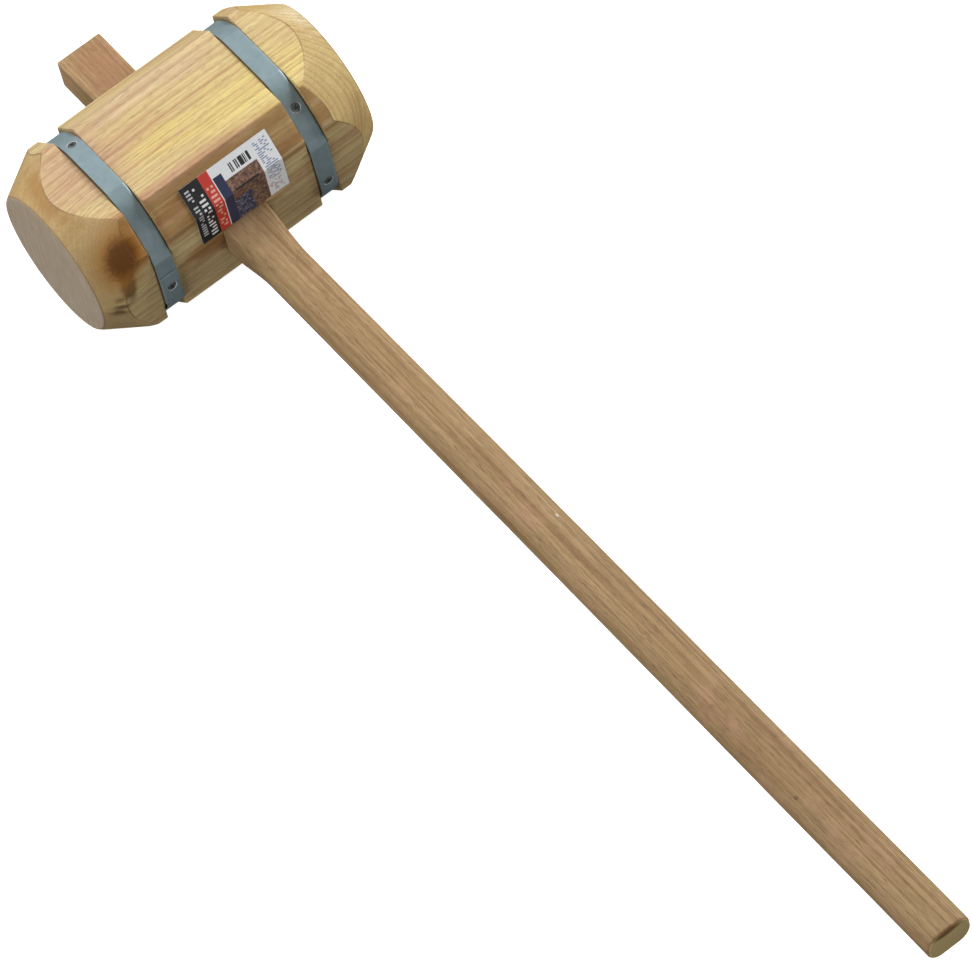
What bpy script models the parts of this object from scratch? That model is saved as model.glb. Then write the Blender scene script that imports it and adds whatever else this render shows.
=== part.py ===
"""Large wooden mallet with a long straight handle and two steel bands on its head.

Frame: +X runs along the handle from the head to the butt, +Y along the head from one striking face
to the other, +Z up. The origin is the middle of the head's lower side flat, between the bands.
"""

import math

import bmesh
import bpy
from mathutils import Matrix, Vector

# Head: a square block with its four long corners taken off, its ends turned to cones. The corner
# under the label loses less of the top flat than the others do.
HEAD_LENGTH = 0.221
ACROSS_FLATS = 0.122
CORNER_CHAMFER = 0.0248
LABEL_CORNER_CHAMFER = 0.0190
FACE_INSET = 0.0091
FACE_EASE = 0.0012
SHOULDER = 0.0075
TURNED_STEPS = 72

# Band grooves, turned below the head's long corners.
GROOVE_DEPTH = 0.0060
GROOVE_MARGIN = 0.0010

# Steel bands: a strap bent once round the head, its ends lapped.
BAND_INSET = 0.0471
BAND_WIDTH = 0.0135
BAND_THICKNESS = 0.0012
BAND_BOW = 0.0004
BAND_STEP = math.radians(5)
LAP_LENGTH = 0.028
LAP_RISE_LENGTH = 0.009
LAP_CLEAR = 0.001
LEFT_LAP_END = math.radians(7.5)
RIGHT_LAP_END = math.radians(187.5)

# Band screws: cross-recessed, countersunk.
SCREW_HEAD_RADIUS = 0.0033
SCREW_SHANK_RADIUS = 0.0016
SCREW_LENGTH = 0.016
SCREW_RIM = 0.0003
SCREW_SINK = 0.0001
SCREW_POINT = 0.0030
SCREW_STEPS = 24
RECESS_SPAN = 0.0036
RECESS_SLOT = 0.0008
RECESS_DEPTH = 0.0010
LEFT_SCREWS = (math.radians(-4), math.radians(112.5), math.radians(232.5))
RIGHT_SCREWS = (math.radians(-12.5), math.radians(48), math.radians(184), math.radians(258))

# Handle: a tapered stub drawn down through the head's eye, then an oval grip.
HANDLE_LENGTH = 0.900
STUB_PROUD = 0.061
STUB_WIDTH = 0.0350
STUB_DEPTH = 0.0262
EYE_TAPER = 0.0055
STUB_CORNER = 0.0012
STUB_EDGE = 0.0008
EYE_OFFSET = -0.0050
WAIST_LENGTH = 0.046
GRIP_WIDTH = 0.0313
GRIP_DEPTH = 0.0240
GRIP_CORNER = 0.0100
BUTT_WIDTH = 0.0334
BUTT_DEPTH = 0.0236
BUTT_EASE = 0.0022
CORNER_STEPS = 6
WAIST_STEPS = 8
GRIP_STEPS = 4
EASE_STEPS = 4

# Paper label, stuck across the corner above the handle.
LABEL_WIDTH = 0.070
LABEL_TOP_RUN = 0.0233
LABEL_ABOVE_HANDLE = 0.0014
LABEL_THICKNESS = 0.0003
LABEL_PLACE = 0.0020
LABEL_CORNER_STEPS = 4

# Clearance between touching pieces, and how far the cutters run past the wood.
GAP = 0.0003
CUT_PAST = 0.004
TURNED_PAST = 0.001

HALF_FLATS = ACROSS_FLATS / 2
HALF_LENGTH = HEAD_LENGTH / 2
CORNER_REACH = HALF_FLATS - CORNER_CHAMFER
LABEL_CORNER_REACH = HALF_FLATS - LABEL_CORNER_CHAMFER
CORNER_RADIUS = math.hypot(HALF_FLATS, CORNER_REACH)
SHARPEST_RADIUS = math.hypot(HALF_FLATS, max(CORNER_REACH, LABEL_CORNER_REACH))
FACE_RADIUS = HALF_FLATS - FACE_INSET
BAND_PLACE = HALF_LENGTH - BAND_INSET
GROOVE_RADIUS = CORNER_RADIUS - GROOVE_DEPTH
GROOVE_HALF = BAND_WIDTH / 2 + GROOVE_MARGIN
CONE_START = BAND_PLACE + GROOVE_HALF + SHOULDER
CONE_SLOPE = (CORNER_RADIUS - FACE_RADIUS) / (HALF_LENGTH - CONE_START)
AXIS_HEIGHT = HALF_FLATS
HANDLE_HEIGHT = AXIS_HEIGHT + EYE_OFFSET
HANDLE_TOP = -HALF_FLATS - STUB_PROUD
HANDLE_BUTT = HANDLE_TOP + HANDLE_LENGTH


def clear_scene():
    for obj in list(bpy.data.objects):
        bpy.data.objects.remove(obj, do_unlink=True)


def collection(name):
    made = bpy.data.collections.new(name)
    bpy.context.scene.collection.children.link(made)
    return made


def material(name, colour, roughness, metallic):
    made = bpy.data.materials.new(name)
    made.use_nodes = True
    shader = made.node_tree.nodes["Principled BSDF"]
    shader.inputs["Base Color"].default_value = (*colour, 1)
    shader.inputs["Roughness"].default_value = roughness
    shader.inputs["Metallic"].default_value = metallic
    made.diffuse_color = (*colour, 1)
    return made


def place(name, mesh, group, finish=None, at=(0, 0, 0), turn=None):
    obj = bpy.data.objects.new(name, mesh)
    obj.matrix_world = Matrix.Translation(at) @ (turn or Matrix())
    group.objects.link(obj)
    if finish:
        mesh.materials.append(finish)
    return obj


def as_cutter(obj):
    obj.hide_render = True
    obj.display_type = "WIRE"
    return obj


def boolean(obj, cutter, operation):
    modifier = obj.modifiers.new(cutter.name, "BOOLEAN")
    modifier.operation = operation
    modifier.solver = "EXACT"
    modifier.object = cutter


def smooth(obj, angle=30):
    obj.data.shade_smooth()
    obj.data.set_sharp_from_angle(angle=math.radians(angle))


def turned(name, profile, steps, group, finish=None):
    """A solid turned about its Z axis from (radius, height) points, listed top to bottom."""
    mesh = bpy.data.meshes.new(name)
    points = [(radius, 0, height) for radius, height in profile]
    mesh.from_pydata(points, [(i, i + 1) for i in range(len(points) - 1)], [])
    obj = place(name, mesh, group, finish)
    modifier = obj.modifiers.new("turn", "SCREW")
    modifier.axis = "Z"
    modifier.angle = math.tau
    modifier.screw_offset = 0
    modifier.steps = steps
    modifier.render_steps = steps
    modifier.use_merge_vertices = True
    modifier.merge_threshold = 0.00001
    modifier.use_smooth_shade = True
    return obj


def extruded(name, outline, width, group, finish=None):
    """A flat (x, z) outline extruded along Y, as a closed mesh about y = 0."""
    curve = bpy.data.curves.new(name, "CURVE")
    curve.dimensions = "2D"
    curve.fill_mode = "BOTH"
    curve.extrude = width / 2
    spline = curve.splines.new("POLY")
    spline.points.add(len(outline) - 1)
    for point, (x, z) in zip(spline.points, outline):
        point.co = (x, z, 0, 1)
    spline.use_cyclic_u = True
    flat = bpy.data.objects.new(name + "_outline", curve)
    flat.rotation_euler.x = math.radians(90)
    group.objects.link(flat)
    bpy.context.view_layer.update()
    seen = flat.evaluated_get(bpy.context.evaluated_depsgraph_get())
    mesh = bpy.data.meshes.new_from_object(seen)
    mesh.name = name
    whole = bmesh.new()
    whole.from_mesh(mesh)
    bmesh.ops.remove_doubles(whole, verts=whole.verts, dist=0.000005)
    bmesh.ops.transform(whole, matrix=flat.matrix_world, verts=whole.verts)
    bmesh.ops.recalc_face_normals(whole, faces=whole.faces)
    whole.to_mesh(mesh)
    whole.free()
    bpy.data.objects.remove(flat, do_unlink=True)
    return place(name, mesh, group, finish)


def loft(name, sections, group, finish=None):
    """A closed solid through a list of (x, ring of (y, z) points)."""
    solid = bmesh.new()
    rings = [[solid.verts.new((x, y, z)) for y, z in ring] for x, ring in sections]
    for near, far in zip(rings, rings[1:]):
        for i in range(len(near)):
            j = (i + 1) % len(near)
            solid.faces.new((near[i], near[j], far[j], far[i]))
    solid.faces.new(rings[0])
    solid.faces.new(rings[-1])
    bmesh.ops.recalc_face_normals(solid, faces=solid.faces)
    mesh = bpy.data.meshes.new(name)
    solid.to_mesh(mesh)
    solid.free()
    return place(name, mesh, group, finish)


def rounded_ring(width, depth, corner):
    """A rectangle with round corners, about the centre, as (y, z) points."""
    corner = min(corner, width / 2, depth / 2)
    ring = []
    for quarter, (side, top) in enumerate(((1, 1), (-1, 1), (-1, -1), (1, -1))):
        middle_y = side * (width / 2 - corner)
        middle_z = top * (depth / 2 - corner)
        for step in range(CORNER_STEPS + 1):
            angle = math.radians(90) * (quarter + step / CORNER_STEPS)
            ring.append((middle_y + corner * math.cos(angle), middle_z + corner * math.sin(angle)))
    return ring


def mix(a, b, share):
    return a + (b - a) * share


def eased(share):
    return share * share * (3 - 2 * share)


def stub_size(x):
    """Width and depth of the tapered stub at x: it narrows towards the butt."""
    shrink = EYE_TAPER * (x - HANDLE_TOP)
    return STUB_WIDTH - shrink, STUB_DEPTH - shrink


def handle_sections():
    width, depth = stub_size(HANDLE_TOP)
    inset = 2 * STUB_EDGE
    sections = [(HANDLE_TOP, rounded_ring(width - inset, depth - inset, STUB_CORNER))]
    for x in (HANDLE_TOP + STUB_EDGE, HALF_FLATS):
        sections.append((x, rounded_ring(*stub_size(x), STUB_CORNER)))
    from_width, from_depth = stub_size(HALF_FLATS)
    for step in range(1, WAIST_STEPS + 1):
        share = step / WAIST_STEPS
        ring = rounded_ring(
            mix(from_width, GRIP_WIDTH, eased(share)),
            mix(from_depth, GRIP_DEPTH, eased(share)),
            mix(STUB_CORNER, GRIP_CORNER, eased(share)),
        )
        sections.append((HALF_FLATS + WAIST_LENGTH * share, ring))
    grip_start = HALF_FLATS + WAIST_LENGTH
    grip_end = HANDLE_BUTT - BUTT_EASE
    for step in range(1, GRIP_STEPS + 1):
        share = step / GRIP_STEPS
        ring = rounded_ring(
            mix(GRIP_WIDTH, BUTT_WIDTH, share), mix(GRIP_DEPTH, BUTT_DEPTH, share), GRIP_CORNER
        )
        sections.append((mix(grip_start, grip_end, share), ring))
    for step in range(1, EASE_STEPS + 1):
        angle = math.radians(90) * step / EASE_STEPS
        inset = 2 * BUTT_EASE * (1 - math.cos(angle))
        ring = rounded_ring(BUTT_WIDTH - inset, BUTT_DEPTH - inset, GRIP_CORNER - inset / 2)
        sections.append((grip_end + BUTT_EASE * math.sin(angle), ring))
    return sections


def eye_sections():
    """The eye follows the stub's taper, GAP wider on each side, and runs past both flats."""
    sections = []
    for x in (-HALF_FLATS - CUT_PAST, HALF_FLATS + CUT_PAST):
        width, depth = stub_size(x)
        sections.append((x, rounded_ring(width + 2 * GAP, depth + 2 * GAP, STUB_CORNER + GAP)))
    return sections


def turned_profile():
    """Half outline of the turned blank, top to bottom, as (radius, place along the head)."""
    past = SHARPEST_RADIUS + TURNED_PAST
    groove_out = BAND_PLACE + GROOVE_HALF
    groove_in = BAND_PLACE - GROOVE_HALF
    half = [
        (0, HALF_LENGTH),
        (FACE_RADIUS - FACE_EASE, HALF_LENGTH),
        (FACE_RADIUS + CONE_SLOPE * FACE_EASE, HALF_LENGTH - FACE_EASE),
        (CORNER_RADIUS + CONE_SLOPE * SHOULDER, groove_out),
        (GROOVE_RADIUS, groove_out),
        (GROOVE_RADIUS, groove_in),
        (past, groove_in),
    ]
    return half + [(radius, -height) for radius, height in reversed(half)]


def section_corners():
    """The head's section between its ends, as (x, z) points about its axis, anticlockwise."""
    wide, reach = HALF_FLATS, CORNER_REACH
    points = ((wide, -reach), (wide, reach), (LABEL_CORNER_REACH, wide), (-reach, wide))
    points += ((-wide, reach), (-wide, -reach), (-reach, -wide), (reach, -wide))
    return [Vector(point) for point in points]


def grooved_flats():
    """The flats that the groove's round floor doesn't reach: each one's direction and half angle."""
    corners = section_corners()
    found = []
    for near, far in zip(corners, corners[1:] + corners[:1]):
        out = Vector((far.y - near.y, near.x - far.x)).normalized()
        distance = out.dot(near)
        if distance < GROOVE_RADIUS:
            found.append((math.atan2(out.y, out.x), distance, math.acos(distance / GROOVE_RADIUS)))
    return found


def strap_radius(angle, offset):
    """Distance from the head's axis to a line lying offset above the wood under a band.

    A strap follows the groove's round floor, and bows a little where it crosses a flat.
    """
    radius = GROOVE_RADIUS + offset
    for direction, distance, reach in grooved_flats():
        off = abs((angle - direction + math.pi) % math.tau - math.pi)
        if off < reach:
            bow = BAND_BOW * (1 - (off / reach) ** 2)
            radius = min(radius, (distance + offset + bow) / math.cos(off))
    return radius


def strap_point(angle, offset):
    radius = strap_radius(angle, offset)
    return Vector((radius * math.cos(angle), radius * math.sin(angle)))


def strap_outline(lap_end):
    """Side view of one strap: out from its inner end, once round, and over that end."""
    layer = BAND_THICKNESS + GAP
    lap_angle = LAP_LENGTH / HALF_FLATS
    rise_angle = LAP_RISE_LENGTH / HALF_FLATS
    start = lap_end - lap_angle
    finish = lap_end + math.tau
    rise_start = start + math.tau - rise_angle
    rise_end = start + math.tau - LAP_CLEAR / HALF_FLATS
    bends = [start, finish, rise_start, rise_end]
    for direction, _, reach in grooved_flats():
        for angle in (direction - reach, direction + reach):
            first = start + (angle - start) % math.tau
            bends += [first, first + math.tau]
    bends = sorted(angle for angle in bends if angle <= finish)
    angles = []
    for near, far in zip(bends, bends[1:]):
        steps = math.ceil((far - near) / BAND_STEP)
        angles += [mix(near, far, i / steps) for i in range(steps)]
    angles.append(finish)
    inner = []
    outer = []
    for angle in angles:
        risen = min(max((angle - rise_start) / (rise_end - rise_start), 0), 1)
        inner.append(strap_point(angle, GAP + layer * risen))
        outer.append(strap_point(angle, GAP + layer * risen + BAND_THICKNESS))
    return [tuple(point) for point in inner + outer[::-1]]


def in_lap(angle, lap_end):
    return (lap_end - angle) % math.tau < LAP_LENGTH / HALF_FLATS


def screw_frame(angle, lap_end, side):
    """Where a screw's head sits on the strap, its axis pointing outwards."""
    layers = 2 if in_lap(angle, lap_end) else 1
    offset = layers * (GAP + BAND_THICKNESS) - SCREW_SINK
    spread = math.radians(1)
    along = strap_point(angle + spread, offset) - strap_point(angle - spread, offset)
    seat = strap_point(angle, offset)
    out = Vector((along.y, 0, -along.x)).normalized()
    turn = out.to_track_quat("Z", "Y").to_matrix().to_4x4()
    return Matrix.Translation((seat.x, side * BAND_PLACE, seat.y + AXIS_HEIGHT)) @ turn


def screw_profile(wider=0.0, above=0.0):
    """Countersunk screw, top to bottom; wider and above make the matching hole."""
    head = SCREW_HEAD_RADIUS + wider
    shank = SCREW_SHANK_RADIUS + wider
    neck = -SCREW_RIM - (SCREW_HEAD_RADIUS - SCREW_SHANK_RADIUS) - wider
    return [
        (0, above),
        (head, above),
        (head, -SCREW_RIM - wider / 2),
        (shank, neck),
        (shank, -SCREW_LENGTH + SCREW_POINT - wider),
        (0, -SCREW_LENGTH - wider),
    ]


def recess_mesh():
    """A cross-shaped block, sunk in a screw's head."""
    reach = RECESS_SPAN / 2
    half = RECESS_SLOT / 2
    arm = ((reach, -half), (reach, half), (half, half))
    solid = bmesh.new()
    ring = []
    for quarter in range(4):
        turn = Matrix.Rotation(math.radians(45 + 90 * quarter), 3, "Z")
        ring += [solid.verts.new(turn @ Vector((x, y, -RECESS_DEPTH))) for x, y in arm]
    floor = solid.faces.new(ring)
    lifted = bmesh.ops.extrude_face_region(solid, geom=[floor])["geom"]
    top = [vert for vert in lifted if isinstance(vert, bmesh.types.BMVert)]
    bmesh.ops.translate(solid, verts=top, vec=(0, 0, 2 * RECESS_DEPTH))
    bmesh.ops.recalc_face_normals(solid, faces=solid.faces)
    mesh = bpy.data.meshes.new("cross_recess")
    solid.to_mesh(mesh)
    solid.free()
    return mesh


def make_head(parts, cutters, finish):
    section = [tuple(corner) for corner in section_corners()]
    head = extruded("head", section, HEAD_LENGTH + 2 * CUT_PAST, parts, finish)
    head.location.z = AXIS_HEIGHT
    blank = as_cutter(turned("turned_blank", turned_profile(), TURNED_STEPS, cutters))
    blank.location.z = AXIS_HEIGHT
    blank.rotation_euler.x = math.radians(-90)
    eye = as_cutter(loft("eye_cutter", eye_sections(), cutters))
    eye.location.z = HANDLE_HEIGHT
    boolean(head, blank, "INTERSECT")
    boolean(head, eye, "DIFFERENCE")
    smooth(head)
    return head


def make_band(name, side, lap_end, parts, finish):
    band = extruded(name, strap_outline(lap_end), BAND_WIDTH, parts, finish)
    band.location = (0, side * BAND_PLACE, AXIS_HEIGHT)
    smooth(band)
    return band


def make_screws(side_name, side, angles, lap_end, head, band, parts, cutters, finish, recess):
    for number, angle in enumerate(angles, 1):
        frame = screw_frame(angle, lap_end, side)
        name = f"{side_name}_band_screw_{number}"
        screw = turned(name, screw_profile(), SCREW_STEPS, parts, finish)
        screw.matrix_world = frame
        cross = as_cutter(place(name + "_recess", recess, cutters))
        cross.matrix_world = frame
        boolean(screw, cross, "DIFFERENCE")
        hole = as_cutter(
            turned(name + "_hole", screw_profile(wider=GAP, above=CUT_PAST), SCREW_STEPS, cutters)
        )
        hole.matrix_world = frame
        boolean(band, hole, "DIFFERENCE")
        boolean(head, hole, "DIFFERENCE")


def label_outline():
    """End view of the label: down the narrow flat, round the corner and down the wide flat."""
    corner = Vector((HALF_FLATS, CORNER_REACH))
    up_narrow = (Vector((LABEL_CORNER_REACH, HALF_FLATS)) - corner).normalized()
    narrow_out = Vector((up_narrow.y, -up_narrow.x))
    wide_out = Vector((1, 0))
    depth_at_exit = stub_size(HALF_FLATS)[1]
    lower_end = EYE_OFFSET + depth_at_exit / 2 + LABEL_ABOVE_HANDLE
    down = Vector((0, lower_end - CORNER_REACH))
    sides = []
    for offset in (GAP, GAP + LABEL_THICKNESS):
        line = [corner + up_narrow * LABEL_TOP_RUN + narrow_out * offset]
        for step in range(LABEL_CORNER_STEPS + 1):
            out = narrow_out.slerp(wide_out, step / LABEL_CORNER_STEPS)
            line.append(corner + out * offset)
        line.append(corner + down + wide_out * offset)
        sides.append([tuple(point) for point in line])
    return sides[0] + sides[1][::-1]


def main():
    clear_scene()
    parts = collection("wooden_mallet")
    cutters = collection("cutters")
    cutters.hide_render = True
    head_wood = material("head_wood", (0.60, 0.42, 0.20), 0.60, 0)
    handle_wood = material("handle_wood", (0.37, 0.23, 0.12), 0.62, 0)
    band_steel = material("band_steel", (0.45, 0.52, 0.54), 0.42, 0.9)
    screw_steel = material("screw_steel", (0.16, 0.18, 0.18), 0.45, 0.9)
    label_paper = material("label_paper", (0.80, 0.80, 0.82), 0.45, 0)

    head = make_head(parts, cutters, head_wood)
    recess = recess_mesh()
    sides = (
        ("left", -1, LEFT_LAP_END, LEFT_SCREWS),
        ("right", 1, RIGHT_LAP_END, RIGHT_SCREWS),
    )
    for side_name, side, lap_end, angles in sides:
        band = make_band(side_name + "_band", side, lap_end, parts, band_steel)
        make_screws(side_name, side, angles, lap_end, head, band, parts, cutters, screw_steel, recess)

    handle = loft("handle", handle_sections(), parts, handle_wood)
    handle.location.z = HANDLE_HEIGHT
    smooth(handle)

    label = extruded("label", label_outline(), LABEL_WIDTH, parts, label_paper)
    label.location = (0, LABEL_PLACE, AXIS_HEIGHT)


main()
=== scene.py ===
"""A large wooden mallet with a banded head and a long handle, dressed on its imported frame."""

import math

import bmesh
import bpy
from mathutils import Matrix, Vector, noise


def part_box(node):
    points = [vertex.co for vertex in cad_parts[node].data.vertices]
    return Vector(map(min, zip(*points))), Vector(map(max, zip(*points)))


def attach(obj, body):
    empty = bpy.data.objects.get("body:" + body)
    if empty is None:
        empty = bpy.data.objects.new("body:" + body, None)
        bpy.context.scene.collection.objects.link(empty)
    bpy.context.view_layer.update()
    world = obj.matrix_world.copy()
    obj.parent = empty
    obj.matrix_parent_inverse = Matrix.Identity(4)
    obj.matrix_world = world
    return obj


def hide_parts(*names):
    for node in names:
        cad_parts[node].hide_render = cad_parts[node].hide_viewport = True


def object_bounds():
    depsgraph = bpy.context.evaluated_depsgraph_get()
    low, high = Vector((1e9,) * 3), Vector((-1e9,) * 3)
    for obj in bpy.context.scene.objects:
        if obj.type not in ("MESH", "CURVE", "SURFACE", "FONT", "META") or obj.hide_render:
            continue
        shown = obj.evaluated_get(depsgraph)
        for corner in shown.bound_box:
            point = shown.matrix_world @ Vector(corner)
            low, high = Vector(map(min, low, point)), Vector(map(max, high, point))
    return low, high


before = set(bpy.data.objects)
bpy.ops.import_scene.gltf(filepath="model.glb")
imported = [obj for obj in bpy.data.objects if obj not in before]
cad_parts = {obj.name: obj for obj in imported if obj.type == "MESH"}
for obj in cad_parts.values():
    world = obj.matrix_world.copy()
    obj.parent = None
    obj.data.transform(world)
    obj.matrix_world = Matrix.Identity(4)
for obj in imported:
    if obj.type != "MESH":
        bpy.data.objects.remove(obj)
cad_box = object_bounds()

# The head: one seasoned block, sawn square with its four long corners taken off and its top flat
# left a little crowned. Both ends are turned to blunt cones, and a groove for each band is turned
# below the corners. The tapered eye for the handle is chopped through from flat to flat.


def span(node, axis):
    """How long a CAD node is along one axis, and where its middle is, to the micron."""
    low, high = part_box(node)
    return round(high[axis] - low[axis], 6), round((low[axis] + high[axis]) / 2, 6)


HEAD_LENGTH = span("head", 1)[0]
HALF_FLATS = span("head", 0)[0] / 2
AXIS_HEIGHT = span("head", 2)[1]
FLAT_REACH = 0.0362
LABEL_FLAT_REACH = 0.0420
CROWN = 0.24
FACE_RADIUS = 0.0519
CONE_SLOPE = 0.5975
BAND_PLACE = span("right_band", 1)[1]
GROOVE_RADIUS = 0.0649
GROOVE_HALF = 0.0077
HANDLE_HEIGHT = span("handle", 2)[1]
HANDLE_TOP = round(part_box("handle")[0][0], 6)
STUB_WIDTH = 0.0350
STUB_DEPTH = 0.0262
STUB_TAPER = 0.0055
EYE_GAP = 0.0003
FACE_EASE = 0.0006
FACE_HUB = 0.0040
ARC_EASE = 0.0006
ARC_WEAR = 0.00012
LIP_EASE = 0.0006
LIP_WEAR = 0.0004
GROOVE_FILLET = 0.0005
UNEVENNESS = 0.00022


def eased_ring(corners, radius, steps, spacing):
    """A closed outline with each corner rounded and each side cut into even lengths."""
    ring = []
    for index, corner in enumerate(corners):
        before = (corners[index - 1] - corner).normalized()
        after = (corners[(index + 1) % len(corners)] - corner).normalized()
        back = radius / math.tan(before.angle(after) / 2)
        start, end = corner + before * back, corner + after * back
        if ring:
            parts = max(1, round((start - ring[-1]).length / spacing))
            ring += [ring[-1].lerp(start, i / parts) for i in range(1, parts)]
        for step in range(steps + 1):
            share = step / steps
            ring.append(start.lerp(corner, share).lerp(corner.lerp(end, share), share))
    parts = max(1, round((ring[0] - ring[-1]).length / spacing))
    return ring + [ring[-1].lerp(ring[0], i / parts) for i in range(1, parts)]


def barrel_radius(out, full, place):
    """The block's radius along one longitude: crowned on the top flat's left half, a little uneven."""
    crown = CROWN * min(place, 0) ** 2 * max(out.y, 0) ** 2
    wave = noise.noise(Vector((out.x * 3, out.y * 3, place * 22)))
    return full - crown * full / HALF_FLATS - UNEVENNESS * (0.7 + wave)


def evenly(first, last, parts):
    """Places spread evenly from the first to the last, both included."""
    return [first + (last - first) * i / parts for i in range(parts + 1)]


def half_profile(out, full, side):
    """One longitude from an end to the middle, as (radius, place, how far past its arc)."""

    def wood(place):
        return barrel_radius(out, full, side * place)

    def lip(edge, way):
        """A groove's worn edge, from the wood down to the groove's floor."""
        wear = min(LIP_WEAR, max(0, wood(BAND_PLACE) - GROOVE_RADIUS) / 2)
        worn = wood(edge) - wear
        return [
            (wood(edge) - wear * 0.3, edge + way * 0.0003),
            (worn, edge + way * 0.00005),
            (min(GROOVE_RADIUS + 0.0003, worn), edge - way * 0.0001),
            (min(GROOVE_RADIUS, wood(edge)), edge - way * GROOVE_FILLET),
        ]

    half = HEAD_LENGTH / 2
    arc = half - (full - FACE_RADIUS) / CONE_SLOPE
    for _ in range(5):
        arc = half - (wood(arc) - FACE_RADIUS) / CONE_SLOPE
    outer, inner = BAND_PLACE + GROOVE_HALF, BAND_PLACE - GROOVE_HALF
    rows = [(radius, half) for radius in evenly(FACE_HUB, FACE_RADIUS - 0.0015, 8)]
    rows += [(FACE_RADIUS - 0.0009, half - 0.00002), (FACE_RADIUS - 0.0003, half - 0.0002)]
    rows.append((FACE_RADIUS + 0.00005, half - FACE_EASE))
    for place in evenly(half - FACE_EASE, arc + ARC_EASE, 14)[1:]:
        rows.append((FACE_RADIUS + CONE_SLOPE * (half - place), place))
    rows.append((wood(arc) - ARC_WEAR, arc))
    rows += [(wood(place), place) for place in evenly(arc - 0.0009, outer + LIP_EASE, 8)]
    rows += lip(outer, 1)
    for place in evenly(outer - GROOVE_FILLET, inner + GROOVE_FILLET, 7)[1:-1]:
        rows.append((min(GROOVE_RADIUS, wood(place)), place))
    rows += lip(inner, -1)[::-1]
    rows += [(wood(place), place) for place in evenly(inner - LIP_EASE, 0, 14)]
    return [(radius, side * place, place - arc) for radius, place in rows]


def head_mesh():
    """The block as longitudes round its axis, with how far each point lies past its arc kept on it."""
    wide, reach = HALF_FLATS, FLAT_REACH
    corners = ((wide, -reach), (wide, reach), (LABEL_FLAT_REACH, wide), (-reach, wide))
    corners += ((-wide, reach), (-wide, -reach), (-reach, -wide), (reach, -wide))
    ring = eased_ring([Vector(corner) for corner in corners], 0.0011, 4, 0.0036)
    block = bmesh.new()
    past_arc = block.verts.layers.float.new("past_arc")
    rows = []
    for point in ring:
        out = point.normalized()
        row = []
        profile = half_profile(out, point.length, -1) + half_profile(out, point.length, 1)[-2::-1]
        for radius, place, past in profile:
            row.append(block.verts.new((out.x * radius, place, AXIS_HEIGHT + out.y * radius)))
            row[-1][past_arc] = past
        rows.append(row)
    for near, far in zip(rows, rows[1:] + rows[:1]):
        for i in range(len(near) - 1):
            block.faces.new((near[i], near[i + 1], far[i + 1], far[i]))
    block.faces.new([row[0] for row in rows])
    block.faces.new([row[-1] for row in rows])
    bmesh.ops.recalc_face_normals(block, faces=block.faces)
    mesh = bpy.data.meshes.new("mallet_head")
    block.to_mesh(mesh)
    block.free()
    return mesh


def eye_mesh():
    """The tapered square hole, a little larger than the stub and running past both flats."""
    hole = bmesh.new()
    ends = []
    for x in (-0.07, 0.07):
        shrink = STUB_TAPER * (x - HANDLE_TOP)
        width = (STUB_WIDTH - shrink) / 2 + EYE_GAP
        depth = (STUB_DEPTH - shrink) / 2 + EYE_GAP
        corners = [Vector((width * a, depth * b)) for a, b in ((1, 1), (-1, 1), (-1, -1), (1, -1))]
        ring = eased_ring(corners, 0.0012, 3, 1)
        ends.append([hole.verts.new((x, p.x, HANDLE_HEIGHT + p.y)) for p in ring])
    for i in range(len(ends[0])):
        j = (i + 1) % len(ends[0])
        hole.faces.new((ends[0][i], ends[0][j], ends[1][j], ends[1][i]))
    hole.faces.new(ends[0])
    hole.faces.new(ends[1])
    bmesh.ops.recalc_face_normals(hole, faces=hole.faces)
    mesh = bpy.data.meshes.new("eye")
    hole.to_mesh(mesh)
    hole.free()
    return mesh


def in_scene(name, mesh):
    """A new object at the origin, linked to the scene."""
    obj = bpy.data.objects.new(name, mesh)
    bpy.context.scene.collection.objects.link(obj)
    return obj


def made_plain(obj, name):
    """The object's evaluated mesh as a plain mesh on a new object, the old one removed."""
    bpy.context.view_layer.update()
    seen = obj.evaluated_get(bpy.context.evaluated_depsgraph_get())
    mesh = bpy.data.meshes.new_from_object(seen)
    mesh.name = name
    bpy.data.objects.remove(obj)
    return in_scene(name, mesh)


def cut_with(obj, cutter, crossed=False):
    """A Boolean cut, kept as a modifier until the piece is made plain."""
    cut = obj.modifiers.new(cutter.name, "BOOLEAN")
    cut.operation = "DIFFERENCE"
    cut.solver = "EXACT"
    cut.use_self = crossed
    cut.object = cutter


block = in_scene("head_block", head_mesh())
eye = in_scene("eye_hole", eye_mesh())
cut_with(block, eye)
mallet_head = made_plain(block, "mallet_head")
bpy.data.objects.remove(eye)
mallet_head.data.shade_smooth()
mallet_head.data.set_sharp_from_angle(angle=math.radians(50))


def add(tree, kind, sockets=None, **settings):
    """A node with its settings, and its inputs given as values or as other nodes' outputs."""
    made = tree.nodes.new(kind)
    for name, value in settings.items():
        setattr(made, name, value)
    for name, value in (sockets or {}).items():
        if isinstance(value, bpy.types.NodeSocket):
            tree.links.new(value, made.inputs[name])
        else:
            made.inputs[name].default_value = value
    return made


def calc(tree, operation, *values):
    """The output of one Math node."""
    return add(tree, "ShaderNodeMath", dict(enumerate(values)), operation=operation).outputs[0]


def vector(tree, operation, *values):
    """The output of one Vector Math node."""
    made = add(tree, "ShaderNodeVectorMath", dict(enumerate(values)), operation=operation)
    return made.outputs[1] if operation in ("LENGTH", "DOT_PRODUCT") else made.outputs[0]


def scaled(tree, way, by):
    """A vector made longer or shorter."""
    return add(tree, "ShaderNodeVectorMath", {0: way, "Scale": by}, operation="SCALE").outputs[0]


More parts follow.
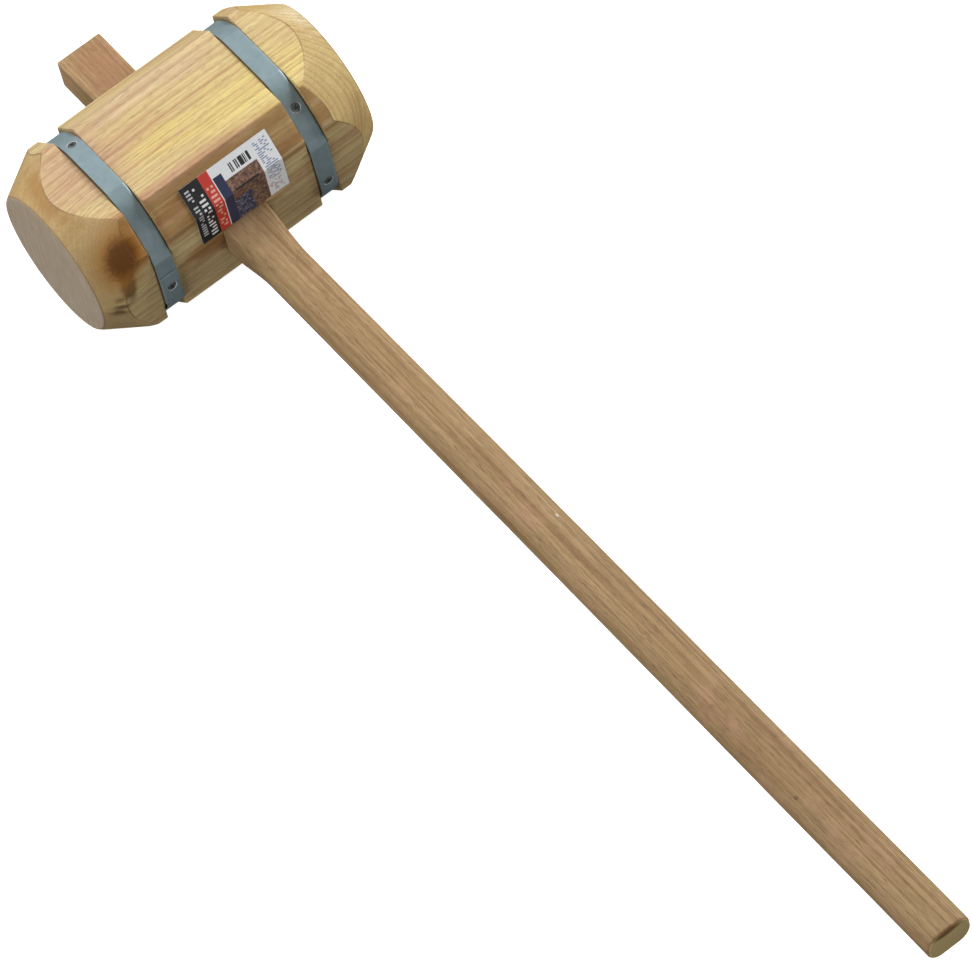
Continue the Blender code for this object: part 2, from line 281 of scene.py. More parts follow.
def eased(tree, value, low, high, start=0.0, end=1.0):
    """The value brought smoothly from one range to another."""
    sockets = {"Value": value, "From Min": low, "From Max": high, "To Min": start, "To Max": end}
    return add(tree, "ShaderNodeMapRange", sockets, interpolation_type="SMOOTHSTEP").outputs[0]


def blend(tree, share, below, above, how="MIX"):
    """One colour laid over another."""
    made = add(tree, "ShaderNodeMix", data_type="RGBA", blend_type=how)
    for socket, value in zip((made.inputs[0], made.inputs[6], made.inputs[7]), (share, below, above)):
        if isinstance(value, bpy.types.NodeSocket):
            tree.links.new(value, socket)
        else:
            socket.default_value = (*value, 1) if isinstance(value, tuple) else value
    return made.outputs[2]


def group_tree(name, takes, gives):
    """A shader group with named inputs and outputs, and its two end nodes."""
    tree = bpy.data.node_groups.new(name, "ShaderNodeTree")
    for label, kind, value in takes:
        made = tree.interface.new_socket(label, in_out="INPUT", socket_type="NodeSocket" + kind)
        if value is not None:
            made.default_value = value
    for label, kind in gives:
        tree.interface.new_socket(label, in_out="OUTPUT", socket_type="NodeSocket" + kind)
    return tree, tree.nodes.new("NodeGroupInput").outputs, tree.nodes.new("NodeGroupOutput").inputs


def noisy(tree, place, scale, detail=2.0, rough=0.5):
    """A noise texture's value."""
    sockets = {"Vector": place, "Scale": scale, "Detail": detail, "Roughness": rough}
    return add(tree, "ShaderNodeTexNoise", sockets).outputs["Fac"]


# Grain shared by both woods: growth rings round a pith, long fibres, and the short dark dashes of
# open pores. The grain runs along Z of the vector that the group is given.
grain, taken, given = group_tree(
    "wood_grain",
    (
        ("Vector", "Vector", None),
        ("Pith", "Vector", (0, 0, 0)),
        ("Ring Spacing", "Float", 0.004),
        ("Ring Shift", "Float", 0.0),
        ("Wander", "Float", 0.003),
        ("Pore Length", "Float", 0.005),
        ("Pore Width", "Float", 0.0006),
    ),
    (("Rings", "Float"), ("Fibre", "Float"), ("Pores", "Float"), ("Tone", "Float"), ("Reach", "Float")),
)
slow = vector(grain, "MULTIPLY", taken["Vector"], (14, 14, 3))
drift = add(grain, "ShaderNodeTexNoise", {"Vector": slow, "Scale": 1.0, "Detail": 2.0})
drift = vector(grain, "SUBTRACT", drift.outputs["Color"], (0.5, 0.5, 0.5))
drift = vector(grain, "MULTIPLY", drift, taken["Wander"])
bent = vector(grain, "SUBTRACT", vector(grain, "ADD", taken["Vector"], drift), taken["Pith"])
split = add(grain, "ShaderNodeSeparateXYZ", {0: bent}).outputs
across = calc(grain, "MULTIPLY", split[0], split[0])
across = calc(grain, "SQRT", calc(grain, "MULTIPLY_ADD", split[1], split[1], across))
count = calc(grain, "DIVIDE", calc(grain, "ADD", across, taken["Ring Shift"]), taken["Ring Spacing"])
uneven = add(grain, "ShaderNodeTexNoise", {"W": count, "Scale": 0.31}, noise_dimensions="1D")
year = calc(grain, "FRACT", calc(grain, "MULTIPLY_ADD", uneven.outputs["Fac"], 2.2, count))
late = calc(grain, "MULTIPLY", eased(grain, year, 0.25, 0.9), eased(grain, year, 0.9, 1.0, 1.0, 0.0))
fibre = noisy(grain, vector(grain, "MULTIPLY", bent, (700, 700, 16)), 1.0, 4.0, 0.62)
wide = calc(grain, "DIVIDE", 1.0, taken["Pore Width"])
long = calc(grain, "DIVIDE", 1.0, taken["Pore Length"])
spread = add(grain, "ShaderNodeCombineXYZ", {0: wide, 1: wide, 2: long}).outputs[0]
pores = noisy(grain, vector(grain, "MULTIPLY", bent, spread), 1.0, 1.0)
tone = noisy(grain, vector(grain, "MULTIPLY", bent, (42, 42, 6)), 1.0, 3.0, 0.55)
grain.links.new(late, given["Rings"])
grain.links.new(across, given["Reach"])
grain.links.new(fibre, given["Fibre"])
grain.links.new(eased(grain, pores, 0.58, 0.70), given["Pores"])
grain.links.new(tone, given["Tone"])

# A soft-edged patch round a point, its edge broken up by noise, for stains, figure, wear and painted light.
patch, taken, given = group_tree(
    "soft_patch",
    (
        ("Vector", "Vector", None),
        ("Centre", "Vector", (0, 0, 0)),
        ("Reach", "Vector", (0.01, 0.01, 0.01)),
        ("Core", "Float", 0.4),
        ("Broken", "Float", 0.5),
        ("Grain", "Vector", (60, 60, 60)),
    ),
    (("Value", "Float"),),
)
away = vector(patch, "DIVIDE", vector(patch, "SUBTRACT", taken["Vector"], taken["Centre"]), taken["Reach"])
edge = noisy(patch, vector(patch, "MULTIPLY", taken["Vector"], taken["Grain"]), 1.0, 3.0, 0.6)
edge = calc(patch, "MULTIPLY", calc(patch, "SUBTRACT", edge, 0.5), taken["Broken"])
away = calc(patch, "MULTIPLY_ADD", edge, 2.0, vector(patch, "LENGTH", away))
patch.links.new(eased(patch, away, 1.0, taken["Core"]), given["Value"])


def material(name, fixed):
    """A material with a Principled shader, its constant values set on its own sockets."""
    made = bpy.data.materials.new(name)
    made.use_nodes = True
    shader = made.node_tree.nodes["Principled BSDF"]
    for label, value in fixed.items():
        shader.inputs[label].default_value = value
    return made, made.node_tree, shader


def ramp(tree, value, *stops):
    """A colour ramp through (place, colour) stops."""
    made = add(tree, "ShaderNodeValToRGB", {"Fac": value})
    for _ in stops[2:]:
        made.color_ramp.elements.new(0.5)
    for element, (place, colour) in zip(made.color_ramp.elements, stops):
        element.position = place
        element.color = (*colour, 1)
    return made.outputs["Color"]


def grouped(tree, group, sockets):
    """The outputs of a group given its inputs by name."""
    return add(tree, "ShaderNodeGroup", sockets, node_tree=group).outputs


def bumped(tree, shader, height, distance, strength):
    """A bump made from a height, on the shader's normal."""
    sockets = {"Height": height, "Distance": distance, "Strength": strength}
    tree.links.new(add(tree, "ShaderNodeBump", sockets).outputs[0], shader.inputs["Normal"])


# Stains, figure and painted shade in the head's wood, each row a colour, its centre and reach, the share
# of the reach that is full, how broken its edge is, and its strength.
BODY_FIGURE = (
    # brown along the upper front corner
    ((0.27, 0.14, 0.045), (0.060, 0.000, 0.100), (0.009, 0.130, 0.013), 0.2, 0.9, 0.8),
    # a pink tint on the left end of the top flat, and along its far edge
    ((0.60, 0.42, 0.255), (-0.012, -0.070, 0.122), (0.050, 0.050, 0.020), 0.3, 0.6, 1.0),
    ((0.58, 0.42, 0.27), (-0.034, 0.000, 0.122), (0.022, 0.090, 0.016), 0.2, 0.9, 0.8),
    # yellow over the rest of the top flat
    ((0.70, 0.57, 0.225), (0.022, 0.050, 0.122), (0.030, 0.070, 0.012), 0.3, 0.6, 1.0),
    ((0.69, 0.55, 0.20), (0.012, -0.020, 0.122), (0.016, 0.040, 0.012), 0.1, 0.9, 0.8),
    # a pink streak along the top flat's near edge
    ((0.56, 0.36, 0.23), (0.040, -0.020, 0.121), (0.008, 0.080, 0.006), 0.1, 0.9, 0.8),
    # brown beside the eye, and on the narrow flat left of the label
    ((0.36, 0.19, 0.065), (0.062, -0.026, 0.064), (0.014, 0.030, 0.014), 0.3, 0.6, 1.0),
    ((0.32, 0.160, 0.050), (0.052, -0.040, 0.110), (0.010, 0.034, 0.012), 0.3, 0.9, 0.75),
)
LEFT_CONE_FIGURE_AND_SHADE = (
    # orange-brown beside the arc at the top, and painted shade low on the near side
    ((0.38, 0.20, 0.055), (-0.012, -0.099, 0.119), (0.050, 0.013, 0.016), 0.3, 0.7, 0.85),
    ((0.33, 0.235, 0.11), (0.050, -0.100, 0.042), (0.030, 0.020, 0.030), 0.3, 0.6, 0.8),
)
RIGHT_CONE_FIGURE = (
    # cream at the top, and brown on the near side
    ((0.70, 0.61, 0.40), (-0.020, 0.112, 0.122), (0.045, 0.026, 0.026), 0.2, 0.6, 1.0),
    ((0.36, 0.235, 0.090), (0.066, 0.095, 0.075), (0.030, 0.030, 0.026), 0.2, 0.6, 0.7),
)
KNOT_RUN = ((0.13, 0.065, 0.022), (0.0605, -0.0905, 0.079), (0.014, 0.0075, 0.021), 0.45, 0.4, 0.85)
DARK_STREAKS = (
    ((0.115, 0.066, 0.028), (0.058, -0.0975, 0.0700), (0.014, 0.0090, 0.0046), 0.1, 0.9, 0.85),
    ((0.115, 0.066, 0.028), (0.058, -0.0980, 0.0632), (0.014, 0.0085, 0.0036), 0.1, 0.9, 0.85),
    ((0.115, 0.066, 0.028), (0.058, -0.0995, 0.0568), (0.014, 0.0080, 0.0042), 0.1, 0.9, 0.85),
)
# Painted shade and dirt round the eye's mouth, where the handle enters the head.
EYE_MOUTH_SHADE_AND_DIRT = ((0.15, 0.075, 0.030), (0.062, 0.0, 0.056), (0.006, 0.024, 0.020), 0.72, 0.25, 0.7)
# Painted shadow on the wood along both edges of each strap.
STRAP_EDGE_SHADOW = (0.045, 0.030, 0.018)
# Painted shade and wear in a thin dark line along each arc.
ARC_SHADE_AND_WEAR = (0.20, 0.11, 0.05)
RIM_DIRT = (0.22, 0.15, 0.09)

head_wood, tree, shader = material("head_wood", {"Specular IOR Level": 0.15})
here = add(tree, "ShaderNodeTexCoord").outputs["Object"]
split = add(tree, "ShaderNodeSeparateXYZ", {0: here}).outputs
along = add(tree, "ShaderNodeCombineXYZ", {0: split[0], 1: split[2], 2: split[1]}).outputs[0]
from_middle = calc(tree, "ABSOLUTE", split[1])

# The knot sits on the left end where the corner meets the cone, its axis running out from the pith.
# It is longer one way across that axis, and the growth rings swell round it. These three are given
# as (across, up, along the head), the order that the grain takes.
KNOT_PLACE = (0.0545, 0.1010, -0.0860)
KNOT_AXIS = (0.806, 0.592, 0.0)
KNOT_LEAN = (0.511, -0.696, -0.503)
KNOT_STRETCH = 0.30
knot_away = vector(tree, "SUBTRACT", along, KNOT_PLACE)
knot_along = vector(tree, "DOT_PRODUCT", knot_away, KNOT_AXIS)
knot_off = vector(tree, "SUBTRACT", knot_away, scaled(tree, KNOT_AXIS, knot_along))
lean_by = calc(tree, "MULTIPLY", vector(tree, "DOT_PRODUCT", knot_off, KNOT_LEAN), KNOT_STRETCH)
knot_off = vector(tree, "LENGTH", vector(tree, "SUBTRACT", knot_off, scaled(tree, KNOT_LEAN, lean_by)))
knot_off = calc(tree, "ADD", knot_off, eased(tree, knot_along, -0.03, -0.07, 0.0, 0.1))
swell = eased(tree, knot_off, 0.034, 0.006)

sockets = {"Vector": along, "Pith": (-0.09, 0.0, 0.0), "Ring Spacing": 0.0027, "Wander": 0.005}
sockets |= {"Ring Shift": calc(tree, "MULTIPLY", swell, 0.013), "Pore Length": 0.0080, "Pore Width": 0.00045}
lines = grouped(tree, grain, sockets)


def stain_or_painted_light(body, colour, centre, reach, core, broken, strength):
    """Body colour with a soft patch of another, drawn out along the grain."""
    sockets = {"Vector": here, "Centre": centre, "Reach": reach, "Core": core, "Broken": broken}
    sockets["Grain"] = (110, 26, 110)
    share = grouped(tree, patch, sockets)["Value"]
    return blend(tree, calc(tree, "MULTIPLY", share, strength), body, colour)


streak = noisy(tree, vector(tree, "MULTIPLY", here, (150, 5, 150)), 1.0, 3.0, 0.6)
cloudy = noisy(tree, here, 45.0, 3.0)
past = add(tree, "ShaderNodeAttribute", attribute_name="past_arc").outputs["Fac"]
on_cone = eased(tree, past, -0.0003, 0.0002)
left = calc(tree, "LESS_THAN", split[1], 0.0)
on_face = eased(tree, from_middle, 0.1098, 0.1104)

# The sawn body, browner in its oldest rings, then the two turned cones.
body = ramp(tree, lines["Tone"], (0.30, (0.66, 0.545, 0.275)), (0.50, (0.63, 0.49, 0.235)),
    (0.72, (0.55, 0.40, 0.20)))
outer = eased(tree, lines["Reach"], 0.1745, 0.1785, 0.0, 0.75)
body = blend(tree, outer, body, (0.36, 0.200, 0.066))
for patch_row in BODY_FIGURE:
    body = stain_or_painted_light(body, *patch_row)
cone = ramp(tree, lines["Tone"], (0.30, (0.57, 0.415, 0.195)), (0.70, (0.47, 0.315, 0.125)))
for patch_row in LEFT_CONE_FIGURE_AND_SHADE:
    cone = stain_or_painted_light(cone, *patch_row)
fair = ramp(tree, lines["Tone"], (0.30, (0.58, 0.445, 0.185)), (0.70, (0.50, 0.365, 0.140)))
for patch_row in RIGHT_CONE_FIGURE:
    fair = stain_or_painted_light(fair, *patch_row)
cone = blend(tree, left, fair, cone)
body = blend(tree, calc(tree, "MULTIPLY", on_cone, 0.9), body, cone)

# Streaks, which hardly show on the cones, then rings, pores and fibres.
streaky = calc(tree, "MULTIPLY_ADD", on_cone, -0.75, 1.0)
dark_streak = calc(tree, "MULTIPLY", eased(tree, streak, 0.50, 0.70, 0.0, 0.6), streaky)
body = blend(tree, dark_streak, body, (0.50, 0.29, 0.165))
pale_streak = calc(tree, "MULTIPLY", eased(tree, streak, 0.47, 0.28, 0.0, 0.45), streaky)
body = blend(tree, pale_streak, body, (0.78, 0.66, 0.38))
ring_share = calc(tree, "MULTIPLY_ADD", calc(tree, "MULTIPLY", on_cone, left), -0.20, 0.32)
ring_share = calc(tree, "MULTIPLY", lines["Rings"], ring_share)
body = blend(tree, ring_share, body, (0.52, 0.34, 0.22), "MULTIPLY")
body = blend(tree, calc(tree, "MULTIPLY", lines["Pores"], 0.42), body, (0.25, 0.12, 0.08))
body = blend(tree, eased(tree, lines["Fibre"], 0.42, 0.75, 0.0, 0.45), body, (0.38, 0.22, 0.11))

# The knot: an orange glow round a dark core, dark stain running on below it, and three streaks.
body = stain_or_painted_light(body, *KNOT_RUN)
halo = eased(tree, calc(tree, "MULTIPLY_ADD", lines["Fibre"], 0.010, knot_off), 0.029, 0.012)
body = blend(tree, calc(tree, "MULTIPLY", halo, 0.8), body, (0.40, 0.165, 0.024))
core = eased(tree, calc(tree, "MULTIPLY_ADD", lines["Fibre"], 0.007, knot_off), 0.0172, 0.0090)
body = blend(tree, calc(tree, "MULTIPLY", core, 0.92), body, (0.130, 0.042, 0.005))
for patch_row in DARK_STREAKS:
    body = stain_or_painted_light(body, *patch_row)

# The left striking face in greyer end grain, dirt on the rims, painted shade and dirt at the eye's mouth,
# painted shade and wear along the arcs, and painted shadow beside the straps.
end_grain = noisy(tree, vector(tree, "MULTIPLY", here, (260, 1, 45)), 1.0, 3.0, 0.6)
end_grain = ramp(tree, end_grain, (0.35, (0.45, 0.375, 0.295)), (0.65, (0.37, 0.300, 0.235)))
body = blend(tree, calc(tree, "MULTIPLY", calc(tree, "MULTIPLY", on_face, left), 0.85), body, end_grain)
rim = eased(tree, from_middle, 0.1105, 0.1101, 0.0, 0.55)
rim = calc(tree, "MULTIPLY", eased(tree, from_middle, 0.1090, 0.1097), rim)
body = blend(tree, rim, body, RIM_DIRT)
# Painted shade and dirt at the eye's mouth.
body = stain_or_painted_light(body, *EYE_MOUTH_SHADE_AND_DIRT)
# Painted shade and wear along each arc, where the flats meet the cones.
line = calc(tree, "MULTIPLY", eased(tree, past, -0.0009, -0.0001), eased(tree, past, 0.0010, 0.0002))
line = calc(tree, "MULTIPLY", line, eased(tree, cloudy, 0.35, 0.6, 0.1, 0.7))
body = blend(tree, line, body, ARC_SHADE_AND_WEAR)
# Painted shadow: a thin dark line on the wood beside each strap's edges.
under = calc(tree, "ABSOLUTE", calc(tree, "SUBTRACT", from_middle, BAND_PLACE))
body = blend(tree, eased(tree, under, 0.0082, 0.0070, 0.0, 0.85), body, STRAP_EDGE_SHADOW)
tree.links.new(body, shader.inputs["Base Color"])
rough = calc(tree, "MULTIPLY_ADD", lines["Fibre"], 0.25, 0.42)
tree.links.new(rough, shader.inputs["Roughness"])
relief = calc(tree, "MULTIPLY_ADD", lines["Pores"], -0.8, calc(tree, "MULTIPLY", lines["Fibre"], 0.6))
bumped(tree, shader, relief, 0.00025, 0.6)
mallet_head.data.materials.append(head_wood)
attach(mallet_head, "head")
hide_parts("head")

# The bands: two galvanised steel straps, each bent once round its groove and lapped over its own
# end. They bow a little off the four wide flats and are countersunk for their screws.
STRAP_WIDTH = span("right_band", 1)[0]
STRAP_THICKNESS = 0.0012
STRAP_GAP = 0.0003
STRAP_BOW = 0.00038
STRAP_EDGE = 0.00035
STRAP_STATIONS = 1100
STRAP_ROUND = 33
LAP_ANGLE = 0.028 / HALF_FLATS
RISE_ANGLE = 0.009 / HALF_FLATS
LAP_CLEAR_ANGLE = 0.001 / HALF_FLATS
OFF_REACH = math.acos(HALF_FLATS / GROOVE_RADIUS)
# Each band's side of the head, the angle of its lap's end and the angles of its screws, in degrees.
SCREWS = {
    "left": (-1, 7.5, (-4, 112.5, 232.5)),
    "right": (1, 187.5, (-12.5, 48, 184, 258)),
}
SCREW_SINK = 0.0001
SEAT_STEP = 0.017
COUNTERSINK = ((0.0046, 0.0010), (0.0036, 0.0), (0.0035, -0.0002), (0.0019, -0.0019), (0.0019, -0.01))


def geometry_tree(name, takes):
    """A Geometry Nodes tree with named inputs, and its two end nodes."""
    tree = bpy.data.node_groups.new(name, "GeometryNodeTree")
    tree.interface.new_socket("Geometry", in_out="OUTPUT", socket_type="NodeSocketGeometry")
    for label, kind, value in takes:
        made = tree.interface.new_socket(label, in_out="INPUT", socket_type="NodeSocket" + kind)
        if value is not None:
            made.default_value = value
    return tree, tree.nodes.new("NodeGroupInput").outputs, tree.nodes.new("NodeGroupOutput").inputs


def grown(name, mesh, tree, values):
    """An object that a Geometry Nodes tree shapes from a mesh and the values for its named inputs."""
    obj = in_scene(name, mesh)
    modifier = obj.modifiers.new("grown", "NODES")
    modifier.node_group = tree
    for item in tree.interface.items_tree:
        if item.in_out == "INPUT" and item.name in values:
            modifier[item.identifier] = values[item.name]
    return obj


def finished(tree, shape, steel, given):
    """The shape realised and given its material, as what the tree puts out."""
    whole = add(tree, "GeometryNodeRealizeInstances", {"Geometry": shape})
    coated = add(tree, "GeometryNodeSetMaterial", {"Geometry": whole.outputs[0], "Material": steel})
    tree.links.new(coated.outputs[0], given["Geometry"])


strap, taken, given = geometry_tree(
    "strap",
    (
        ("Place", "Float", 0.0),
        ("Lap End", "Float", 0.0),
        ("Width", "Float", STRAP_WIDTH),
        ("Thickness", "Float", STRAP_THICKNESS),
        ("Gap", "Float", STRAP_GAP),
        ("Bow", "Float", STRAP_BOW),
        ("Steel", "Material", None),
    ),
)
# A flat grid, one way round the head by one way round the strap's own section, is rolled up. First
# the angle and the height of the lap, then the distance from the head's axis, bowed off each flat.
sockets = {"Size X": 1.0, "Size Y": 1.0, "Vertices X": STRAP_STATIONS, "Vertices Y": STRAP_ROUND}
grid = add(strap, "GeometryNodeMeshGrid", sockets)
flat_place = add(strap, "GeometryNodeInputPosition").outputs[0]
split = add(strap, "ShaderNodeSeparateXYZ", {0: flat_place}).outputs
share = calc(strap, "ADD", split[0], 0.5)
round_it = calc(strap, "ADD", split[1], 0.5)
start = calc(strap, "SUBTRACT", taken["Lap End"], LAP_ANGLE)
angle = calc(strap, "MULTIPLY_ADD", share, math.tau + LAP_ANGLE, start)
gone = calc(strap, "SUBTRACT", angle, start)
rise = eased(strap, gone, math.tau - RISE_ANGLE, math.tau - LAP_CLEAR_ANGLE)
layer = calc(strap, "MULTIPLY", rise, calc(strap, "ADD", taken["Thickness"], taken["Gap"]))
off = calc(strap, "WRAP", angle, math.pi / 4, -math.pi / 4)
bow = calc(strap, "DIVIDE", off, OFF_REACH)
bow = calc(strap, "MAXIMUM", calc(strap, "SUBTRACT", 1.0, calc(strap, "MULTIPLY", bow, bow)), 0.0)
inside = calc(strap, "ADD", taken["Gap"], layer)
flat = calc(strap, "ADD", calc(strap, "MULTIPLY_ADD", bow, taken["Bow"], HALF_FLATS), inside)
flat = calc(strap, "DIVIDE", flat, calc(strap, "COSINE", off))
arc = calc(strap, "ADD", GROOVE_RADIUS, inside)
radius = calc(strap, "SMOOTH_MIN", flat, arc, 0.0004)

# The section, an eased rectangle, drawn in to a point on the first and last station to close them.
to_end = calc(strap, "MINIMUM", share, calc(strap, "SUBTRACT", 1.0, share))
ends = calc(strap, "MINIMUM", calc(strap, "MULTIPLY", to_end, STRAP_STATIONS - 1.0), 1.0)
sockets = {"Width": taken["Width"], "Height": taken["Thickness"]}
outline = add(strap, "GeometryNodeCurvePrimitiveQuadrilateral", sockets).outputs[0]
sockets = {"Curve": outline, "Radius": STRAP_EDGE, "Count": 4}
outline = add(strap, "GeometryNodeFilletCurve", sockets, mode="POLY").outputs[0]
sockets = {"Curves": outline, "Factor": round_it}
spot = add(strap, "GeometryNodeSampleCurve", sockets, mode="FACTOR", use_all_curves=True)
spot = add(strap, "ShaderNodeSeparateXYZ", {0: spot.outputs["Position"]}).outputs
half_thick = calc(strap, "MULTIPLY", taken["Thickness"], 0.5)
out_by = calc(strap, "ADD", calc(strap, "ADD", radius, half_thick), calc(strap, "MULTIPLY", spot[1], ends))
place = calc(strap, "ADD", taken["Place"], calc(strap, "MULTIPLY", spot[0], ends))
x = calc(strap, "MULTIPLY", out_by, calc(strap, "COSINE", angle))
z = calc(strap, "MULTIPLY_ADD", out_by, calc(strap, "SINE", angle), AXIS_HEIGHT)
where = add(strap, "ShaderNodeCombineXYZ", {0: x, 1: place, 2: z}).outputs[0]
bent = add(strap, "GeometryNodeSetPosition", {"Geometry": grid.outputs["Mesh"], "Position": where})
closed = add(strap, "GeometryNodeMergeByDistance", {"Geometry": bent.outputs[0], "Distance": 0.00001})
finished(strap, closed.outputs[0], taken["Steel"], given)

band_steel, tree, shader = material("band_steel", {"Metallic": 0.35})
here = add(tree, "ShaderNodeTexCoord").outputs["Object"]
cloud = noisy(tree, here, 160.0, 4.0, 0.6)
steel = ramp(tree, cloud, (0.30, (0.23, 0.31, 0.335)), (0.70, (0.275, 0.36, 0.385)))
tree.links.new(steel, shader.inputs["Base Color"])
scratch = noisy(tree, vector(tree, "MULTIPLY", here, (60, 2600, 60)), 1.0, 2.0)
tree.links.new(calc(tree, "MULTIPLY_ADD", scratch, 0.2, 0.36), shader.inputs["Roughness"])
bumped(tree, shader, cloud, 0.0002, 0.3)


def strap_radius(angle, offset):
    """The same rule as the strap's: distance from the head's axis, offset above the wood."""
    off = (angle + math.pi / 4) % (math.pi / 2) - math.pi / 4
    bow = STRAP_BOW * max(0, 1 - (off / OFF_REACH) ** 2)
    return min((HALF_FLATS + offset + bow) / math.cos(off), GROOVE_RADIUS + offset)


def screw_seat(side, lap_end, degrees):
    """Where a screw's head sits on the strap, its axis pointing outwards."""
    angle = math.radians(degrees)
    lapped = (math.radians(lap_end) - angle) % math.tau < LAP_ANGLE
    offset = (2 if lapped else 1) * (STRAP_GAP + STRAP_THICKNESS) - SCREW_SINK
    points = []
    for turn in (angle - SEAT_STEP, angle, angle + SEAT_STEP):
        radius = strap_radius(turn, offset)
        points.append(Vector((radius * math.cos(turn), radius * math.sin(turn))))
    run = points[2] - points[0]
    out = Vector((run.y, 0, -run.x)).normalized()
    turn = out.to_track_quat("Z", "Y").to_matrix().to_4x4()
    return Matrix.Translation((points[1].x, side * BAND_PLACE, points[1].y + AXIS_HEIGHT)) @ turn


def lathed(rows, steps, frames):
    """A closed turned shape from (radius, height) rows, top to bottom, once at each frame."""
    shape = bmesh.new()
    for at in frames:
        rings = []
        for radius, height in rows:
            turns = [math.tau * i / steps for i in range(steps)]
            spots = [Vector((radius * math.cos(t), radius * math.sin(t), height)) for t in turns]
            rings.append([shape.verts.new(at @ spot) for spot in spots])
        for near, far in zip(rings, rings[1:]):
            for i in range(steps):
                j = (i + 1) % steps
                shape.faces.new((near[i], near[j], far[j], far[i]))
        shape.faces.new(rings[0])
        shape.faces.new(rings[-1])
    bmesh.ops.recalc_face_normals(shape, faces=shape.faces)
    mesh = bpy.data.meshes.new("lathed")
    shape.to_mesh(mesh)
    shape.free()
    return mesh


screw_frames = []
for name, (side, lap_end, angles) in SCREWS.items():
    piece = name + "_band"
    frames = [screw_seat(side, lap_end, degrees) for degrees in angles]
    screw_frames += frames
    sizes = {"Place": side * BAND_PLACE, "Lap End": math.radians(lap_end), "Steel": band_steel}
    obj = grown(piece + "_grown", bpy.data.meshes.new(piece), strap, sizes)
    holes = in_scene(piece + "_holes", lathed(COUNTERSINK, 40, frames))
    cut_with(obj, holes)
    band = made_plain(obj, piece)
    bpy.data.objects.remove(holes)
    band.data.shade_smooth()
    band.data.set_sharp_from_angle(angle=math.radians(38))
    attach(band, "head")
    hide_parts(piece)

# The screws: countersunk, cross-recessed steel wood screws, driven flush through the straps. Their
# zinc has gone dark.
HEAD_RADIUS = 0.0033
SHANK_RADIUS = 0.0016
RECESS_REACH = 0.0018
RECESS_HALF = 0.0004
RECESS_DEPTH = 0.0010
SCREW_TURN = 0.4
# Domed head, rim, countersink, shank and point, as (radius, height above the rim) from the top.
SCREW_ROWS = (
    (0.0010, 0.00012),
    (0.0020, 0.0001),
    (0.0028, 0.00003),
    (0.00318, -0.00006),
    (HEAD_RADIUS, -0.0002),
    (HEAD_RADIUS, -0.0003),
    (SHANK_RADIUS, -0.0020),
    (SHANK_RADIUS, -0.0130),
    (0.0002, -0.0158),
)

screw_body = in_scene("screw_body", lathed(SCREW_ROWS, 48, [Matrix()]))
cross = bmesh.new()
for turn in (45, 135):
    slot = Matrix.Diagonal((2 * RECESS_REACH, 2 * RECESS_HALF, 2 * RECESS_DEPTH, 1))
    slot = Matrix.Rotation(math.radians(turn), 4, "Z") @ slot
    bmesh.ops.create_cube(cross, size=1, matrix=slot)
cross_mesh = bpy.data.meshes.new("cross")
cross.to_mesh(cross_mesh)
cross.free()
cross_cutter = in_scene("cross_cutter", cross_mesh)
cut_with(screw_body, cross_cutter, crossed=True)
screw_one = made_plain(screw_body, "screw_one")
bpy.data.objects.remove(cross_cutter)
screw_one.data.shade_smooth()
screw_one.data.set_sharp_from_angle(angle=math.radians(35))

# One screw is set at every seat, each turned a little its own way.
screw_set, taken, given = geometry_tree(
    "screw_set",
    (
        ("Places", "Geometry", None),
        ("Screw", "Object", None),
        ("Seed", "Int", 4),
        ("Steel", "Material", None),
    ),
)
info = add(screw_set, "GeometryNodeObjectInfo", {"Object": taken["Screw"]}, transform_space="ORIGINAL")
facing = add(screw_set, "GeometryNodeInputNamedAttribute", {"Name": "turn"}, data_type="QUATERNION")
sockets = {"Min": (0, 0, -SCREW_TURN), "Max": (0, 0, SCREW_TURN), "Seed": taken["Seed"]}
spun = add(screw_set, "FunctionNodeRandomValue", sockets, data_type="FLOAT_VECTOR")
spun = add(screw_set, "FunctionNodeEulerToRotation", {0: spun.outputs[0]})
sockets = {0: facing.outputs[0], 1: spun.outputs[0]}
rotation = add(screw_set, "FunctionNodeRotateRotation", sockets, rotation_space="LOCAL").outputs[0]
sockets = {"Points": taken["Places"], "Instance": info.outputs["Geometry"], "Rotation": rotation}
placed = add(screw_set, "GeometryNodeInstanceOnPoints", sockets)
finished(screw_set, placed.outputs[0], taken["Steel"], given)

screw_steel, tree, shader = material("screw_steel", {"Metallic": 0.9})
here = add(tree, "ShaderNodeTexCoord").outputs["Object"]
dull = noisy(tree, here, 900.0, 3.0)
zinc = ramp(tree, dull, (0.35, (0.15, 0.17, 0.17)), (0.7, (0.32, 0.35, 0.35)))
tree.links.new(zinc, shader.inputs["Base Color"])
tree.links.new(calc(tree, "MULTIPLY_ADD", dull, 0.3, 0.28), shader.inputs["Roughness"])

places = bpy.data.meshes.new("screw_places")
places.from_pydata([at.to_translation() for at in screw_frames], [], [])
turns = places.attributes.new("turn", "QUATERNION", "POINT")
for index, at in enumerate(screw_frames):
    turns.data[index].value = at.to_quaternion()
screws = grown("screw_places", places, screw_set, {"Screw": screw_one, "Steel": screw_steel})
screws = made_plain(screws, "band_screws")
bpy.data.objects.remove(screw_one)
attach(screws, "head")
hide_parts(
    *[f"left_band_screw_{i}" for i in (1, 2, 3)], *[f"right_band_screw_{i}" for i in (1, 2, 3, 4)]
)

# The handle: one length of hardwood. Its square stub is drawn down through the tapered eye and stands
# proud on the far side; past the head a short waist swells into the long oval grip.
HANDLE_LENGTH = span("handle", 0)[0]
GRIP_WIDTH, GRIP_DEPTH, GRIP_CORNER = 0.0313, 0.0240, 0.0100
BUTT_WIDTH, BUTT_DEPTH = 0.0334, 0.0236
WAIST_END = 0.107
STUB_CORNER = 0.0012
STUB_EASE = 0.0007
BUTT_EASE = 0.0022
GRIP_UNEVENNESS = 0.006


